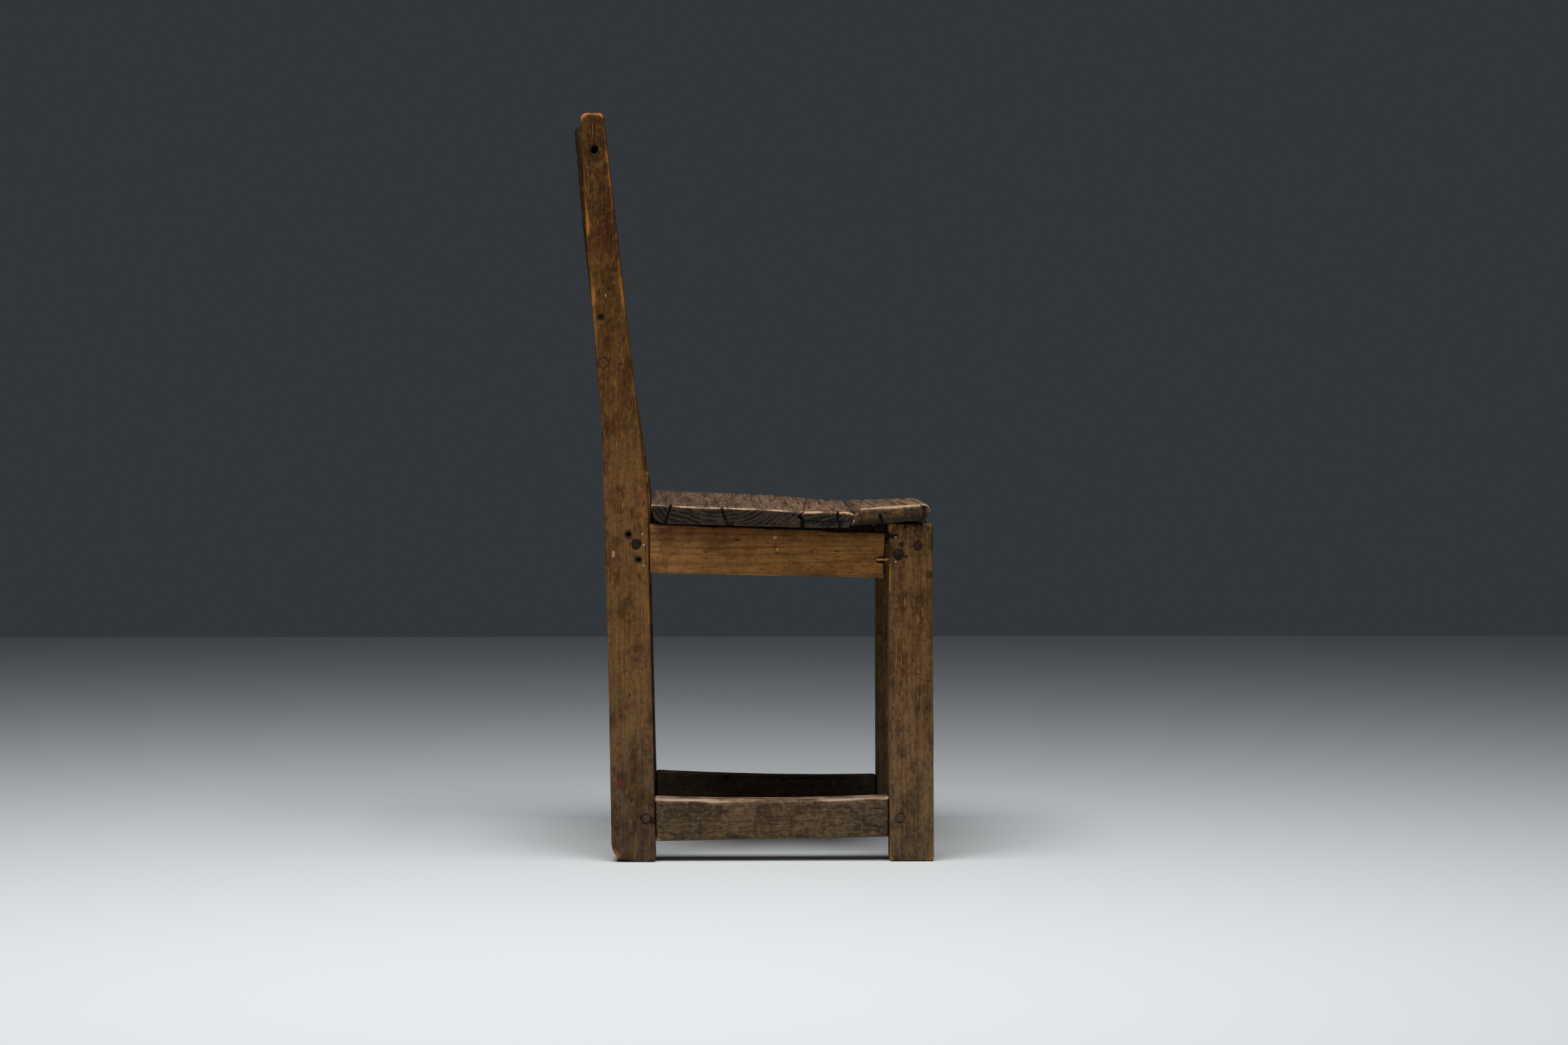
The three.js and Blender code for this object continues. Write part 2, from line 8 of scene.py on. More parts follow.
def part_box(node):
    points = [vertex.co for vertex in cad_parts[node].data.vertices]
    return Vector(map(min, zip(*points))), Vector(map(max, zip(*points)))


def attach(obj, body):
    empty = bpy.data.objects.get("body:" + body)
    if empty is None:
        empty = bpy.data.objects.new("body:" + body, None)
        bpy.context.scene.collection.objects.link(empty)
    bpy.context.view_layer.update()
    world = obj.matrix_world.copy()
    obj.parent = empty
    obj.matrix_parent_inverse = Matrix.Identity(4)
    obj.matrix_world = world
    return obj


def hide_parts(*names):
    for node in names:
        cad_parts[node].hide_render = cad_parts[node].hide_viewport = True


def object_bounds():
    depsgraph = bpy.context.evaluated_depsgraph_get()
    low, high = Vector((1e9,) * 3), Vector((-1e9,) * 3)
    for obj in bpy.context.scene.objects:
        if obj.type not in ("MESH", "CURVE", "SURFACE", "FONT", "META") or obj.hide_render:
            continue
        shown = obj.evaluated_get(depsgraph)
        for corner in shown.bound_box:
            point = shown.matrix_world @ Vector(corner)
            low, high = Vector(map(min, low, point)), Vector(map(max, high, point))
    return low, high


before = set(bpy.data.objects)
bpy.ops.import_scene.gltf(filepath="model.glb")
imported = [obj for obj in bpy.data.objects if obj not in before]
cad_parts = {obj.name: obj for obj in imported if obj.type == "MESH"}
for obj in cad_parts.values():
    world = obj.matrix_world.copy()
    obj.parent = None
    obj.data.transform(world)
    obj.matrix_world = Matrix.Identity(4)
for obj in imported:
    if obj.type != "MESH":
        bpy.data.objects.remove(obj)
cad_low, cad_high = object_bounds()
MM = 0.001
MM_IN_METRE = 1000.0
X, Y, Z = range(3)

# Camera: five metres off the chair's right side, a little above the seat, with a long lens.
# Its dip and turn are in degrees.
CAMERA_PLACE = (-0.06255, -5.208, 0.6045)
CAMERA_DIP = 2.107
CAMERA_TURN = -1.190
camera_data = bpy.data.cameras.new("camera")
camera_data.sensor_fit = "HORIZONTAL"
camera_data.sensor_width = 36.0
camera_data.lens = 93.16
camera_data.clip_end = 60.0
camera = bpy.data.objects.new("camera", camera_data)
camera.location = CAMERA_PLACE
camera.rotation_euler = (math.radians(90 - CAMERA_DIP), 0.0, math.radians(CAMERA_TURN))
bpy.context.scene.collection.objects.link(camera)
bpy.context.scene.camera = camera
bpy.context.scene.view_settings.view_transform = "Standard"


def linear(code):
    """An sRGB hex colour as linear RGBA."""
    parts = [int(code[k:k + 2], 16) / 255 for k in (1, 3, 5)]
    return tuple(c / 12.92 if c <= 0.04045 else ((c + 0.055) / 1.055) ** 2.4 for c in parts) + (1.0,)


def add(tree, kind, inputs=None, stops=None, **settings):
    """Adds a node with its settings, its links or values, and a ramp's stops."""
    made = tree.nodes.new(kind)
    for key, value in settings.items():
        setattr(made, key, value)
    for key, value in (inputs or {}).items():
        if isinstance(value, bpy.types.NodeSocket):
            tree.links.new(value, made.inputs[key])
        else:
            made.inputs[key].default_value = value
    if stops:
        ramp = made.color_ramp.elements
        while len(ramp) < len(stops):
            ramp.new(0.5)
        for mark, (place, colour) in zip(ramp, stops):
            mark.position = place
            mark.color = linear(colour)
    return made


def start_material(name):
    material = bpy.data.materials.new(name)
    material.use_nodes = True
    tree = material.node_tree
    return material, tree, tree.nodes["Principled BSDF"]


def chair_mm(tree):
    """Places on the chair, in millimetres."""
    place = add(tree, "ShaderNodeTexCoord").outputs["Object"]
    return add(tree, "ShaderNodeVectorMath", {0: place, "Scale": MM_IN_METRE}, operation="SCALE").outputs[0]


def lay_coat(tree, colour, cover, low, high, most, tone):
    """Lays a tone over a colour: none of it where the cover is low, the most where it is high."""
    amount = add(tree, "ShaderNodeMapRange", {0: cover, 1: low, 2: high, 3: 0.0, 4: most},
                 interpolation_type="SMOOTHSTEP").outputs[0]
    return add(tree, "ShaderNodeMix", {0: amount, 6: colour, 7: linear(tone)}, data_type="RGBA").outputs[2]


# Materials

def old_wood(name, grain, tint_axis, tint_span, tints, dark, pale, gold, pith, ring=6.0, ring_show=0.12,
             streak=(9, 190), line=(4.2, 150), end_base="#15110a", end_ring="#493b28", end_show=0.8,
             end_pale="#453524", worn_most=0.85, mottle=1.0, streaky=0.5, scraped=1.0, pores=1.2,
             grainy=1.0, shine=0.12):
    """Old pine, sawn and planed by hand, then waxed, handled and dirtied for a century: brown, clouded,
    with dark grain lines, golden where the arrises are rubbed and nearly black on the end grain.
    The grain axis is X, Y or Z and every size is in millimetres. The mesh's own maps are wear_and_highlight
    for rubbed arrises with painted highlights on lit tops and edges, dirt_and_shade for dirt with painted
    shade under the seat and darkened faces, cross for end grain and red for a reddish stain."""
    material, tree, shader = start_material(name)
    mm = chair_mm(tree)
    maps = {key: add(tree, "ShaderNodeAttribute", attribute_name=key).outputs["Fac"]
            for key in ("wear_and_highlight", "dirt_and_shade", "cross", "red")}

    # Noise stretched along the grain: name, sizes across and along it, detail, roughness, offset.
    # Real pores, lines and rings are 0.3 to 3 mm apart; they are drawn at 2 to 6 mm, coarse enough to show.
    noise = {}
    stretched = [("cloud", (26, 36), 5, 0.68, 9.2), ("slow", (120, 420), 2, 0.5, 3.1),
                 ("streak", streak, 4, 0.6, 7.7), ("line", line, 2, 0.5, 1.3),
                 ("fleck", (4.0, 16), 2, 0.5, 5.9), ("grit", (5.0, 5.0), 3, 0.6, 2.2),
                 ("sway", (45, 320), 2, 0.5, 4.4), ("speck", (5.0, 10), 3, 0.6, 6.6),
                 ("pore", (2.2, 34), 2, 0.6, 8.3)]
    for key, (across, along), detail, rough, offset in stretched:
        scale = tuple(1 / along if k == grain else 1 / across for k in (X, Y, Z))
        moved = add(tree, "ShaderNodeMapping", {"Vector": mm, "Location": (offset,) * 3, "Scale": scale})
        look = {"Vector": moved.outputs[0], "Scale": 1.0, "Detail": detail, "Roughness": rough}
        noise[key] = add(tree, "ShaderNodeTexNoise", look).outputs["Fac"]

    # Scrapes and scratches: noise stretched along two slanting directions.
    scrape_scale = (1 / 3.2, 1 / 9, 1 / 24)
    for key, turn in (("scrape", 0.62), ("scratch", -0.5)):
        slant = {"Vector": mm, "Rotation": (0.0, turn, 0.0), "Scale": scrape_scale}
        moved = add(tree, "ShaderNodeMapping", slant)
        look = {"Vector": moved.outputs[0], "Scale": 1.0, "Detail": 1.0, "Roughness": 0.5}
        noise[key] = add(tree, "ShaderNodeTexNoise", look).outputs["Fac"]

    # Growth rings: distance from the heart of the tree, which runs with the grain, pulled about by noise.
    across_grain = tuple(0.0 if k == grain else 1.0 for k in (X, Y, Z))
    off = add(tree, "ShaderNodeVectorMath", {0: mm, 1: pith}, operation="SUBTRACT").outputs[0]
    flat = add(tree, "ShaderNodeVectorMath", {0: off, 1: across_grain}, operation="MULTIPLY").outputs[0]
    radius = add(tree, "ShaderNodeVectorMath", {0: flat}, operation="LENGTH").outputs["Value"]
    pull = {0: noise["sway"], 1: 4 * ring, 2: radius}
    pulled = add(tree, "ShaderNodeMath", pull, operation="MULTIPLY_ADD").outputs[0]
    turns = add(tree, "ShaderNodeMath", {0: pulled, 1: math.tau / ring}, operation="MULTIPLY").outputs[0]
    noise["ring"] = add(tree, "ShaderNodeMath", {0: turns}, operation="SINE").outputs[0]

    # Colour changes along the piece, its borders moved a little by slow noise.
    wander = 0.08
    along_piece = add(tree, "ShaderNodeSeparateXYZ", {0: mm}).outputs[tint_axis]
    ends = {0: along_piece, 1: tint_span[0], 2: tint_span[1], 3: -wander / 2, 4: 1 - wander / 2}
    share = add(tree, "ShaderNodeMapRange", ends).outputs[0]
    shift = {0: noise["slow"], 1: wander, 2: share}
    shifted = add(tree, "ShaderNodeMath", shift, operation="MULTIPLY_ADD").outputs[0]
    colour = add(tree, "ShaderNodeValToRGB", {0: shifted}, stops=tints).outputs[0]

    # Coats of tone: noise, where the coat starts and where it is full, how strong, colour.
    coats = [("cloud", 0.53, 0.36, 0.52 * mottle, dark), ("cloud", 0.53, 0.68, 0.42 * mottle, pale),
             ("slow", 0.47, 0.34, 0.30, dark),
             ("speck", 0.50, 0.36, 0.24 * mottle, dark), ("speck", 0.53, 0.66, 0.22 * mottle, pale),
             ("pore", 0.49, 0.34, 0.36 * pores, dark), ("pore", 0.51, 0.67, 0.32 * pores, pale),
             ("grit", 0.49, 0.37, 0.55 * grainy, dark), ("grit", 0.53, 0.66, 0.45 * grainy, pale),
             ("streak", 0.47, 0.33, 0.60 * streaky, dark), ("streak", 0.54, 0.68, 0.40 * streaky, pale),
             ("ring", 0.2, 0.95, ring_show, dark),
             ("line", 0.45, 0.34, 0.70 * streaky, dark), ("line", 0.57, 0.68, 0.30 * streaky, pale),
             ("fleck", 0.335, 0.26, 0.75, "#0d0804"),
             ("scrape", 0.70, 0.77, 0.70 * scraped, gold), ("scratch", 0.71, 0.79, 0.60 * scraped, gold)]
    for key, low, high, most, tone in coats:
        colour = lay_coat(tree, colour, noise[key], low, high, most, tone)

    # End grain: dark with dirt, the hard late wood of each ring a paler line.
    end = linear(end_base)
    end_coats = [("ring", 0.25, 0.98, end_show, end_ring), ("grit", 0.52, 0.34, 0.75, "#0d0a06"),
                 ("cloud", 0.50, 0.62, 0.55, end_pale), ("cloud", 0.47, 0.34, 0.6, "#0b0906")]
    for key, low, high, most, tone in end_coats:
        end = lay_coat(tree, end, noise[key], low, high, most, tone)
    colour = add(tree, "ShaderNodeMix", {0: maps["cross"], 6: colour, 7: end}, data_type="RGBA").outputs[2]

    # Stains, rubbed arrises with painted highlights, and dirt with painted shade, each map broken up by the
    # clouds and the grain lines.
    for key, cloudy, lined, low, high, most, tone in (("red", 0.7, 0.0, 0.75, 1.2, 0.6, "#6a2c22"),
                                                      ("wear_and_highlight", 0.9, 0.5, 1.12, 1.62, worn_most, gold),
                                                      ("dirt_and_shade", 0.6, 0.0, 0.50, 1.15, 0.94, "#0b0805")):
        cover = maps[key]
        for breaker, strength in (("cloud", cloudy), ("line", lined)):
            broken = {0: noise[breaker], 1: strength, 2: cover}
            cover = add(tree, "ShaderNodeMath", broken, operation="MULTIPLY_ADD").outputs[0]
        colour = lay_coat(tree, colour, cover, low, high, most, tone)
    tree.links.new(colour, shader.inputs["Base Color"])

    # Wax that is shinier in some clouds, and relief from the grain.
    wax = {0: noise["cloud"], 1: 0.3, 2: 0.7, 3: 0.5, 4: 0.72}
    tree.links.new(add(tree, "ShaderNodeMapRange", wax).outputs[0], shader.inputs["Roughness"])
    shader.inputs["IOR"].default_value = 1.48
    shader.inputs["Specular IOR Level"].default_value = shine
    relief = noise["grit"]
    for key, lift in (("streak", 1.0), ("line", 0.9), ("fleck", 1.0), ("ring", -0.12), ("scrape", -0.6)):
        raised = {0: noise[key], 1: lift, 2: relief}
        relief = add(tree, "ShaderNodeMath", raised, operation="MULTIPLY_ADD").outputs[0]
    bumped = add(tree, "ShaderNodeBump", {"Height": relief, "Strength": 0.5, "Distance": 0.8 * MM})
    tree.links.new(bumped.outputs[0], shader.inputs["Normal"])
    return material


# The posts: darkest where hands hold the back, warm at the seat, grey with floor dirt at the feet.
post_tints = [(0.0, "#4a3d34"), (0.12, "#634e38"), (0.30, "#775532"), (0.48, "#8a5e37"),
              (0.60, "#6c4924"), (0.78, "#4e3010"), (1.0, "#352006")]
post_wood = old_wood("waxed_pine_post", Z, Z, (0, 930), post_tints, dark="#2e1c08", pale="#7e5b2b",
                     gold="#a86c2a", pith=(-300.0, -120.0, 0.0), mottle=1.2, streaky=0.36, pores=0.85,
                     scraped=0.8, grainy=0.5)
leg_tints = [(0.0, "#544839"), (0.25, "#71563c"), (0.6, "#68492a"), (1.0, "#563c1d")]
leg_wood = old_wood("waxed_pine_leg", Z, Z, (0, 424), leg_tints, dark="#2a1c0c", pale="#82643a",
                    gold="#a0702f", pith=(60.0, -330.0, 0.0), mottle=1.2, streaky=0.38, pores=0.9,
                    grainy=0.55)

# The rail under the seat is cleaner, with close straight rings; feet have worn and dirtied the stretchers,
# whose pale gold is also a painted highlight on their lit tops.
RAIL_SPAN = (-130, 172)
rail_tints = [(0.0, "#9d6b3f"), (0.35, "#80552a"), (1.0, "#764e25")]
rail_wood = old_wood("waxed_pine_rail", X, X, RAIL_SPAN, rail_tints, dark="#37220c", pale="#86602f",
                     gold="#9a7038", pith=(0.0, -330.0, 345.0), ring=2.8, ring_show=0.3, streak=(8, 300),
                     line=(4.0, 240), streaky=0.4, scraped=0.0, pores=0.9, grainy=0.45)
stretcher_tints = [(0.0, "#4b3b29"), (0.5, "#6a5239"), (1.0, "#514130")]
stretcher_wood = old_wood("foot_worn_pine", X, X, RAIL_SPAN, stretcher_tints, dark="#1f1710", pale="#86704e",
                          gold="#b69b82", pith=(0.0, -140.0, -60.0), streak=(8, 90), line=(4.4, 60),
                          mottle=1.05, streaky=0.22, scraped=0.0, pores=0.8, grainy=0.75)
cross_tints = [(0.0, "#5d3f20"), (0.5, "#664724"), (1.0, "#5b3d1f")]
cross_wood = old_wood("waxed_pine_cross_rail", Y, Y, (-160, 160), cross_tints, dark="#2b1a0a",
                      pale="#80602f", gold="#a17233", pith=(-420.0, 0.0, 300.0))

# The seat: scrubbed and sat on, so greyer than the frame, and pale along its upper edges, partly rubbed and
# partly a painted highlight.
seat_look = dict(grain=Y, tint_axis=X, tint_span=(-130, 225), dark="#3c2c21", pale="#8d735b", gold="#c4a27e",
                 tints=[(0.0, "#5a4639"), (0.5, "#745b46"), (1.0, "#7e654e")], streak=(9, 260),
                 line=(4.4, 180), worn_most=0.95, mottle=0.8, streaky=1.2, scraped=0.4, pores=1.8,
                 grainy=0.7, shine=0.2)
rear_board_wood = old_wood("scrubbed_pine_rear_board", pith=(-42.0, 0.0, 520.5), ring=5.8, ring_show=0.35,
                           **seat_look)
middle_board_wood = old_wood("scrubbed_pine_middle_board", pith=(70.0, 0.0, 500.0), ring=6.0, ring_show=0.3,
                             **seat_look)
front_board_wood = old_wood("scrubbed_pine_front_board", pith=(108.6, 0.0, 382.3), ring=5.6, ring_show=0.3,
                            end_base="#43331d", end_ring="#6b4f2d", end_show=0.3, end_pale="#8a6332",
                            **seat_look)


PEG_PORES_PER_MM = 0.42
PEG_STAINS_PER_MM = 0.11


def peg_wood(name, deep, middle, top):
    """Split hardwood pegs driven in and cut flush: dry pores and dirt on the end grain.
    The pores are drawn over 2 mm apart, coarser than real ones, so that they show."""
    material, tree, shader = start_material(name)
    mm = chair_mm(tree)
    look = {"Vector": mm, "Scale": PEG_PORES_PER_MM, "Detail": 4.0, "Roughness": 0.62}
    pores = add(tree, "ShaderNodeTexNoise", look).outputs["Fac"]
    blotches = {"Vector": mm, "Scale": PEG_STAINS_PER_MM, "Detail": 2.0}
    stain = add(tree, "ShaderNodeTexNoise", blotches).outputs["Fac"]
    tones = [(0.32, deep), (0.5, middle), (0.7, top)]
    colour = add(tree, "ShaderNodeValToRGB", {0: pores}, stops=tones).outputs[0]
    shade = add(tree, "ShaderNodeMapRange", {0: stain, 1: 0.62, 2: 0.36, 3: 0.0, 4: 0.55}).outputs[0]
    colour = add(tree, "ShaderNodeMix", {0: shade, 6: colour, 7: linear(deep)}, data_type="RGBA").outputs[2]
    tree.links.new(colour, shader.inputs["Base Color"])
    shader.inputs["Roughness"].default_value = 0.66
    shader.inputs["Specular IOR Level"].default_value = 0.12
    bumped = add(tree, "ShaderNodeBump", {"Height": pores, "Strength": 0.6, "Distance": 0.5 * MM})
    tree.links.new(bumped.outputs[0], shader.inputs["Normal"])
    return material


rail_peg_wood = peg_wood("black_oak_peg", "#0f0c07", "#241d12", "#352b1c")
stretcher_peg_wood = peg_wood("grey_oak_peg", "#33281b", "#4e3f2d", "#5f4e38")
dowel_wood = peg_wood("red_beech_dowel", "#1a0f08", "#382215", "#4a2e1d")
back_dowel_wood = peg_wood("brown_beech_dowel", "#3a2713", "#563a1b", "#6c4c26")
# Torn wood in the seat's broken corner, near black: partly its own colour, partly painted shade.
torn_wood_in_shade = peg_wood("torn_pine_in_shade", "#0d0905", "#22170c", "#3f2a16")


def rusted_iron(name, rust):
    """Hand-forged nails: brown iron oxide with orange bloom in 2 mm crusts, no bright metal left."""
    material, tree, shader = start_material(name)
    look = {"Vector": chair_mm(tree), "Scale": 1 / 2, "Detail": 5.0, "Roughness": 0.65}
    crust = add(tree, "ShaderNodeTexNoise", look).outputs["Fac"]
    colour = add(tree, "ShaderNodeValToRGB", {0: crust}, stops=rust).outputs[0]
    tree.links.new(colour, shader.inputs["Base Color"])
    shader.inputs["Roughness"].default_value = 0.75
    shader.inputs["Specular IOR Level"].default_value = 0.3
    bumped = add(tree, "ShaderNodeBump", {"Height": crust, "Strength": 0.7, "Distance": 0.4 * MM})
    tree.links.new(bumped.outputs[0], shader.inputs["Normal"])
    return material


def brad_steel():
    """Small wire brads, their heads polished by rubbing cloths, pitted grey between."""
    material, tree, shader = start_material("rubbed_steel_brad")
    look = {"Vector": chair_mm(tree), "Scale": 0.9, "Detail": 3.0}
    spots = add(tree, "ShaderNodeTexNoise", look).outputs["Fac"]
    greys = [(0.35, "#77716a"), (0.65, "#bcb8ae")]
    colour = add(tree, "ShaderNodeValToRGB", {0: spots}, stops=greys).outputs[0]
    tree.links.new(colour, shader.inputs["Base Color"])
    shader.inputs["Metallic"].default_value = 0.9
    shader.inputs["Roughness"].default_value = 0.45
    return material


def old_paint():
    """The last flecks of an old cream paint, chalky and dirty."""
    material, tree, shader = start_material("chalky_cream_paint")
    look = {"Vector": chair_mm(tree), "Scale": 0.7, "Detail": 3.0}
    chalk = add(tree, "ShaderNodeTexNoise", look).outputs["Fac"]
    creams = [(0.35, "#7d6748"), (0.65, "#b09c7a")]
    colour = add(tree, "ShaderNodeValToRGB", {0: chalk}, stops=creams).outputs[0]
    tree.links.new(colour, shader.inputs["Base Color"])
    shader.inputs["Roughness"].default_value = 0.85
    return material


brown_rust = [(0.3, "#140c07"), (0.5, "#341d10"), (0.66, "#573117"), (0.8, "#7f4f29")]
orange_rust = [(0.3, "#4f2c14"), (0.5, "#8c5626"), (0.66, "#a66c36"), (0.8, "#bd8a55")]
nail_iron = rusted_iron("rusted_wrought_iron", brown_rust)
toe_nail_iron = rusted_iron("orange_rusted_iron", orange_rust)
brad_metal = brad_steel()
cream_paint = old_paint()


# Noise for shapes
AXIS_PRIMES = (73856093, 19349663, 83492791)
SEED_PRIME = 2654435761
SCRAMBLES = ((15, 2246822519), (13, 3266489917))
WORD = 0xFFFFFFFF


def lattice(points, seed):
    """Smooth value noise from -1 to 1 at points given in cells."""
    cell = np.floor(points).astype(np.int64)
    part = points - cell
    part = part * part * (3 - 2 * part)
    total = np.zeros(len(points))
    for k in range(8):
        step = np.array([k & 1, (k >> 1) & 1, (k >> 2) & 1])
        corner = (cell + step) & 0xFFFF
        code = np.full(len(points), seed * SEED_PRIME & WORD)
        for axis, prime in enumerate(AXIS_PRIMES):
            code ^= corner[:, axis] * prime & WORD
        for shift, prime in SCRAMBLES:
            code = ((code ^ (code >> shift)) * prime) & WORD
        value = (code ^ (code >> 16)) / WORD * 2 - 1
        total += value * np.prod(np.where(step == 1, part, 1 - part), axis=1)
    return total


def unevenness(points, sizes, seed, octaves=3):
    """Summed noise at points in metres; sizes are the three cell sizes in millimetres."""
    total = np.zeros(len(points))
    scaled = points / (np.array(sizes) * MM)
    for k in range(octaves):
        total += 0.5 ** k * lattice(scaled * 2 ** k + 17.3 * k, seed + k)
    return total


def stretched_cell(across, along, grain):
    """The three sizes of a noise cell that is longer along the grain."""
    return [along if k == grain else across for k in (X, Y, Z)]


def neighbours_mean(values, edges, count):
    """Each point's mean over the points that mesh edges join it to."""
    first, second = edges[:, 0], edges[:, 1]
    degree = np.maximum(np.bincount(edges.ravel(), minlength=count), 1)
    total = np.bincount(first, values[second], count) + np.bincount(second, values[first], count)
    return total / degree


def soften(values, edges, rounds):
    for _ in range(rounds):
        values = 0.5 * values + 0.5 * neighbours_mean(values, edges, len(values))
    return values


def fade(distance, radius, core):
    """1 near a spot's middle, falling to 0 at core times its radius."""
    return np.clip(core - distance / radius, 0, 1)


# Meshes

def link_mesh(shape, name):
    """Makes an object of a finished bmesh."""
    mesh = bpy.data.meshes.new(name)
    shape.to_mesh(mesh)
    shape.free()
    piece = bpy.data.objects.new(name, mesh)
    bpy.context.scene.collection.objects.link(piece)
    return piece


CRACK_STEP = 2.5
CRACK_SWING = 0.55


def crack_blade(crack, seed):
    """A thin crooked blade that cuts a crack from a to b and narrows towards b.
    A crack is (a, b, width, depth, face, flat) in millimetres. It is cut in an end face at y = face with a
    and b as (x, z), or, when flat, down from the height face with a and b as (x, y)."""
    a, b, width, depth, face, flat = crack
    start, finish = Vector(a), Vector(b)
    span = finish - start
    side = Vector((-span.y, span.x)).normalized()
    steps = max(4, int(span.length / CRACK_STEP))
    swing = np.random.default_rng(seed).normal(0, 1, steps + 1)
    shape = bmesh.new()
    bmesh.ops.create_grid(shape, x_segments=steps, y_segments=1, size=0.5)
    for vert in shape.verts:
        along = vert.co.x + 0.5
        hold = 1 if 0.05 < along < 0.95 else 0.3
        crook = side * (CRACK_SWING * swing[round(along * steps)] * hold)
        at = start + span * along + crook + side * (vert.co.y * width * (1 - 0.6 * along))
        vert.co = (at.x * MM, at.y * MM, 0.0)
    made = bmesh.ops.extrude_face_region(shape, geom=shape.faces[:])
    lifted = [item for item in made["geom"] if isinstance(item, bmesh.types.BMVert)]
    bmesh.ops.translate(shape, vec=(0, 0, depth * MM), verts=lifted)
    if flat:
        bmesh.ops.translate(shape, vec=(0, 0, face * MM - depth * MM), verts=shape.verts)
    else:
        upright = Matrix.Rotation(math.pi / 2, 3, "X")
        bmesh.ops.rotate(shape, cent=(0, 0, 0), matrix=upright, verts=shape.verts)
        bmesh.ops.translate(shape, vec=(0, face * MM + depth * MM, 0), verts=shape.verts)
    bmesh.ops.recalc_face_normals(shape, faces=shape.faces)
    return link_mesh(shape, "crack_blade")


def dense_copy(node, voxel, blades=()):
    """A merged copy of a frame node, remeshed to even small quads and cut by the blades."""
    shape = bmesh.new()
    shape.from_mesh(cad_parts[node].data)
    bmesh.ops.remove_doubles(shape, verts=shape.verts, dist=0.01 * MM)
    piece = link_mesh(shape, node + "_worn")
    plain = piece.data
    remesh = piece.modifiers.new("remesh", "REMESH")
    remesh.mode = "VOXEL"
    remesh.voxel_size = voxel * MM
    for blade in blades:
        cut = piece.modifiers.new("crack", "BOOLEAN")
        cut.operation = "DIFFERENCE"
        cut.solver = "EXACT"
        cut.object = blade
    graph = bpy.context.evaluated_depsgraph_get()
    dense = bpy.data.meshes.new_from_object(piece.evaluated_get(graph))
    piece.modifiers.clear()
    piece.data = dense
    bpy.data.meshes.remove(plain)
    for blade in blades:
        bpy.data.objects.remove(blade)
    dense.name = node + "_worn"
    dense.materials.clear()
    return piece


def read_mesh(mesh):
    """A mesh's points, normals and edges as arrays."""
    count = len(mesh.vertices)
    points = np.empty(count * 3)
    mesh.vertices.foreach_get("co", points)
    normals = np.empty(count * 3, dtype=np.float32)
    mesh.vertex_normals.foreach_get("vector", normals)
    edges = np.empty(len(mesh.edges) * 2, dtype=np.int64)
    mesh.edges.foreach_get("vertices", edges)
    return points.reshape(-1, 3), normals.reshape(-1, 3).astype(float), edges.reshape(-1, 2)


def settle(piece, points, material, node=None):
    """Keeps the moved points inside the chair's box, and gives the piece its material and its place."""
    mesh = piece.data
    points = np.clip(points, np.array(cad_low), np.array(cad_high))
    mesh.vertices.foreach_set("co", points.ravel())
    mesh.update()
    mesh.materials.append(material)
    mesh.polygons.foreach_set("use_smooth", np.ones(len(mesh.polygons), dtype=bool))
    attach(piece, "root")
    if node:
        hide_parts(node)
    return points


# Wear: depths in millimetres, and how far the maps of dirt and rubbing reach.
FIBRE_DEPTH = 0.14
DENT_DEPTH = 0.5
ARRIS_REACH = 5
SEAT_ARRIS_REACH = 9
MARK_CORE = 1.6
RUB_CORE = 1.4
END_CRACK_DIRT = 2.0
TOP_CRACK_DIRT = 3.0
SEAT_RUB_DEPTH = 3.4
RIGHT_SIDE = -150.0


def below_top(at):
    """How far each point lies below the piece's top, found in cells 5 mm long and 30 mm wide."""
    cell = np.round(at[:, X] / 5).astype(int) * 1000 + np.round(at[:, Y] / 30).astype(int)
    cell = np.unique(cell, return_inverse=True)[1]
    tops = np.full(cell.max() + 1, -1e9)
    np.maximum.at(tops, cell, at[:, Z])
    return tops[cell] - at[:, Z]


